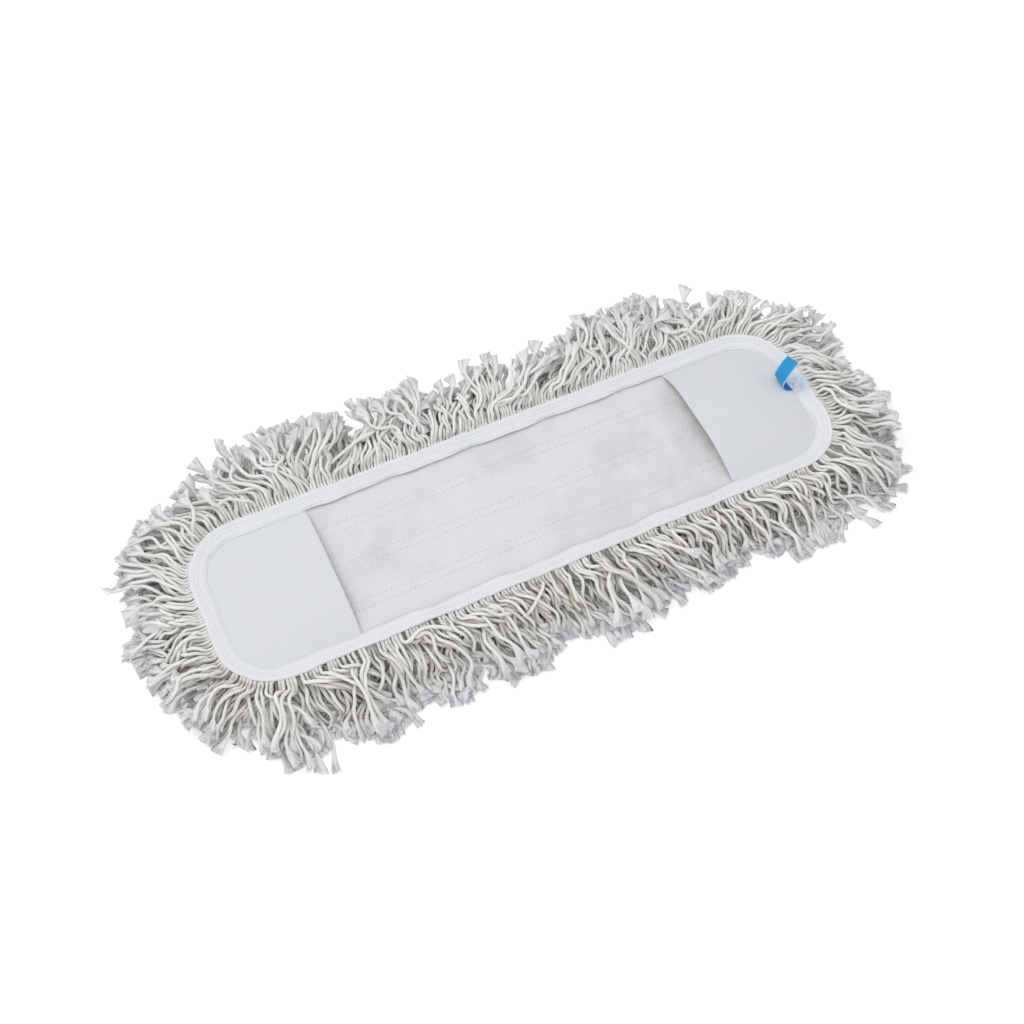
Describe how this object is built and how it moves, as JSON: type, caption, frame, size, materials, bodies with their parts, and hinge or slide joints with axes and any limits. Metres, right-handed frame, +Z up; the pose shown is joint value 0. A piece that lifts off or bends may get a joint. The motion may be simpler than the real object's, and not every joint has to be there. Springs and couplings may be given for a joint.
{
  "type": "dust mop",
  "caption": "Flat pocket dust mop head: canvas backing with an end pocket at each side, taped edge, cotton yarn fringe all round, sewn yarn rows below and a folded ribbon tag.",
  "frame": {"origin": "floor level under the middle of the mop head", "axes": "+X along the length to the end with the tag, +Y to the back long side, +Z up from the floor to the pockets"},
  "size_m": [0.5356, 0.236, 0.041],
  "materials": {
    "canvas": "plain woven cotton canvas, off-white",
    "pocket_cloth": "plain woven polyester cotton cloth, white",
    "binding_tape": "soft woven cotton tape, white",
    "yarn": "spun cotton yarn, cream",
    "thread": "polyester sewing thread, white",
    "ribbon": "woven ribbon, blue with pale selvedges"
  },
  "bodies": {
    "mop_head": {"backing_panel": "canvas", "pocket_left": "pocket_cloth", "pocket_right": "pocket_cloth", "edge_binding": "binding_tape", "fringe_front": "yarn", "fringe_back": "yarn", "fringe_left": "yarn", "fringe_right": "yarn", "fringe_corner_front_left": "yarn", "fringe_corner_front_right": "yarn", "fringe_corner_back_left": "yarn", "fringe_corner_back_right": "yarn", "yarn_row_front": "yarn", "yarn_row_centre": "yarn", "yarn_row_back": "yarn", "row_stitching_front": "thread", "row_stitching_centre": "thread", "row_stitching_back": "thread", "binding_stitching_outer": "thread", "binding_stitching_inner": "thread", "hem_stitching_left": "thread", "hem_stitching_right": "thread", "tag_stub": "ribbon"},
    "tag": {"tag_flap": "ribbon"}
  },
  "joints": [
    {"name": "tag_flip", "type": "hinge", "parent": "mop_head", "child": "tag", "pos_m": [0.2045, 0.0095, 0.02336], "axis": [0, -1, 0], "range_deg": [-46, 74]}
  ]
}
